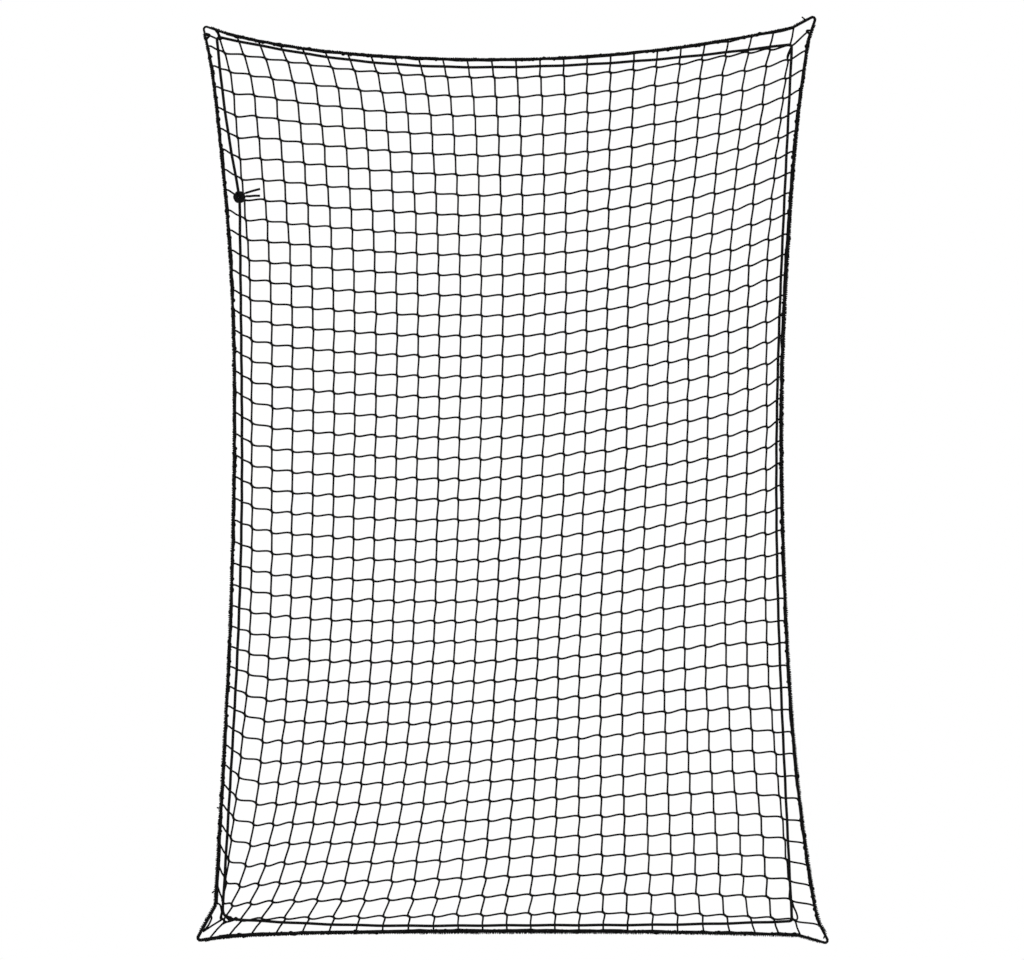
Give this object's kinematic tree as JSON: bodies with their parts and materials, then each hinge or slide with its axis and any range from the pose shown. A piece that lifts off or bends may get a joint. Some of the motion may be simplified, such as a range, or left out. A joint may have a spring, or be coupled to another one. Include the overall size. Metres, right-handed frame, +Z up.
{
  "type": "pitching target net",
  "caption": "Rectangular knotless net panel, stretched by four corner loops in its lashed border rope, with an elastic cord laced round it and tied in one knot.",
  "frame": {"origin": "centre of the flat panel, in the plane of the netting", "axes": "+X to the right across the front, +Z up, and the front faces -Y"},
  "size_m": [1.3757, 0.0253, 2.0207],
  "materials": {
    "twine": "matt black knotless twine",
    "rope": "matt black twisted rope",
    "lashing": "matt black lashing twine",
    "cord": "black braided elastic cord"
  },
  "bodies": {
    "root": {"netting": "twine", "border_rope_top": "rope", "border_rope_right": "rope", "border_rope_bottom": "rope", "border_rope_left": "rope", "corner_loop_top_left": "rope", "corner_loop_top_right": "rope", "corner_loop_bottom_right": "rope", "corner_loop_bottom_left": "rope", "lashing_top": "lashing", "lashing_right": "lashing", "lashing_bottom": "lashing", "lashing_left": "lashing", "lashing_ends": "lashing", "lacing_cord": "cord", "lacing_knot": "cord", "cord_tail_upper": "cord", "cord_tail_lower": "cord"}
  },
  "joints": []
}
